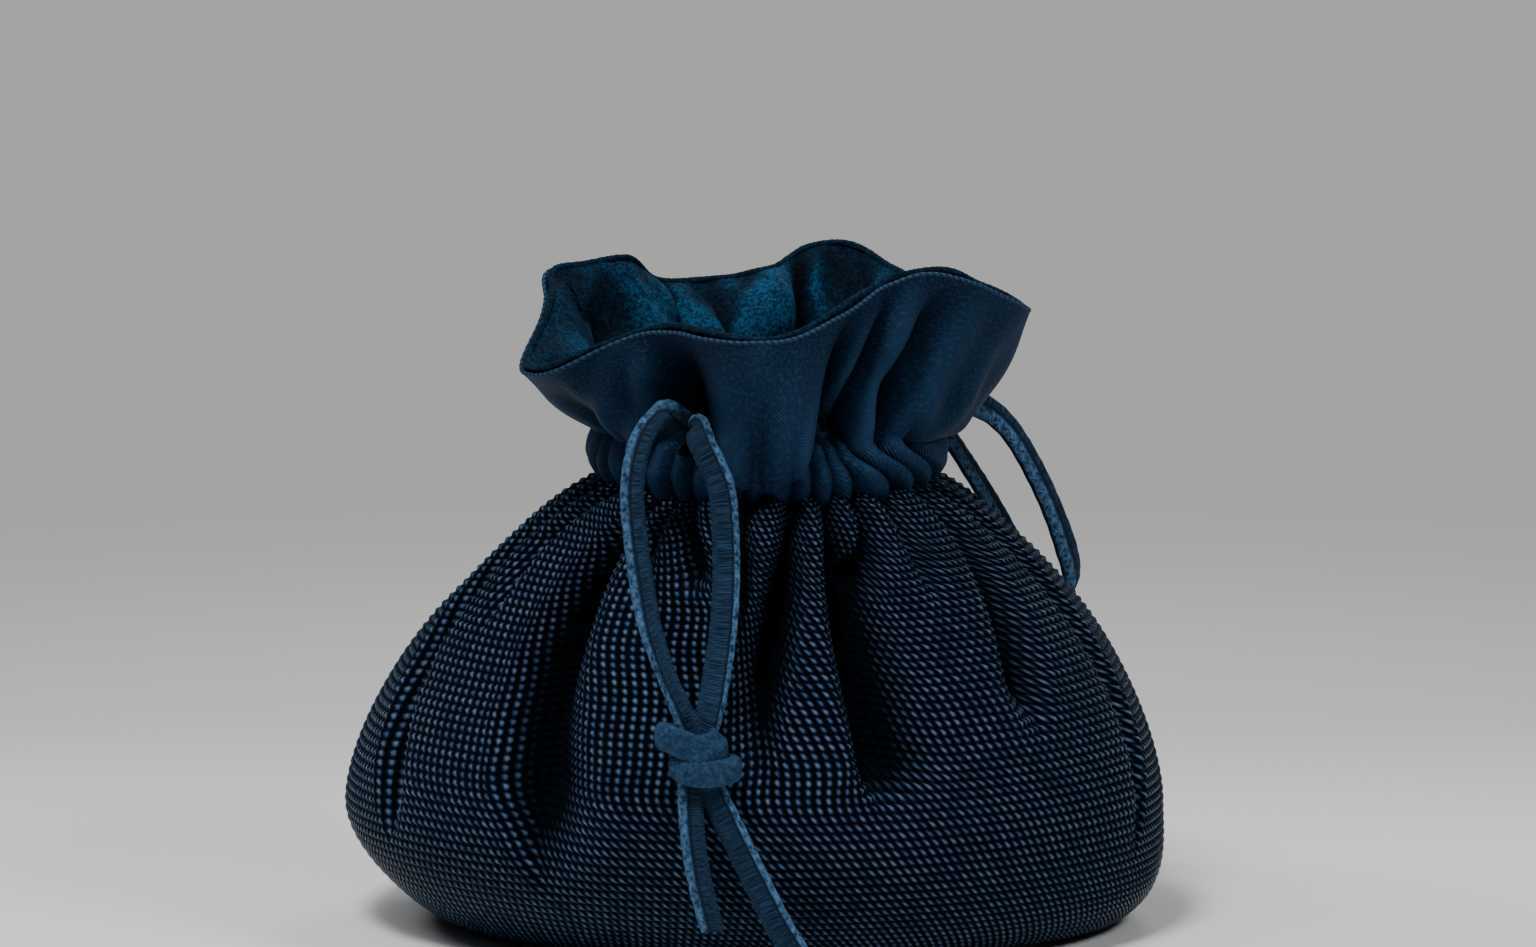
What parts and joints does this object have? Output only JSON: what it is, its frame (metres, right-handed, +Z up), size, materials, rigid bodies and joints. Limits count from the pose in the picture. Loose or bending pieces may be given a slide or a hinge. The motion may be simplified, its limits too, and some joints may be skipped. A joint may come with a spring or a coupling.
{
  "type": "jewelry pouch",
  "caption": "Soft drawstring jewelry pouch: gathered woven body, satin neck with a flared ruffle, velvet lining and knotted flat drawstrings.",
  "frame": {"origin": "centre of the flat oval base, on the surface that the pouch stands on", "axes": "+Z up, +X to the right along the pouch's long side, and the front with its knotted drawstring faces -Y"},
  "size_m": [0.1248, 0.1083, 0.1026],
  "materials": {
    "navy_weave": "coarse basket weave with a slight gloss on each yarn",
    "navy_satin": "fine twill with a soft satin sheen",
    "teal_velvet": "short velvet pile",
    "velvet_cord": "flat velvet tape with a stitched edge"
  },
  "bodies": {
    "root": {"woven_body": "navy_weave", "base_panel": "navy_weave", "satin_collar": "navy_satin", "velvet_lining": "teal_velvet", "front_cord_in_casing": "velvet_cord", "back_cord_in_casing": "velvet_cord", "front_left_strand": "velvet_cord", "front_right_strand": "velvet_cord", "front_knot": "velvet_cord", "front_short_tail": "velvet_cord", "front_long_tail": "velvet_cord", "back_right_strand": "velvet_cord", "back_left_strand": "velvet_cord", "back_knot": "velvet_cord", "back_short_tail": "velvet_cord", "back_long_tail": "velvet_cord"}
  },
  "joints": []
}
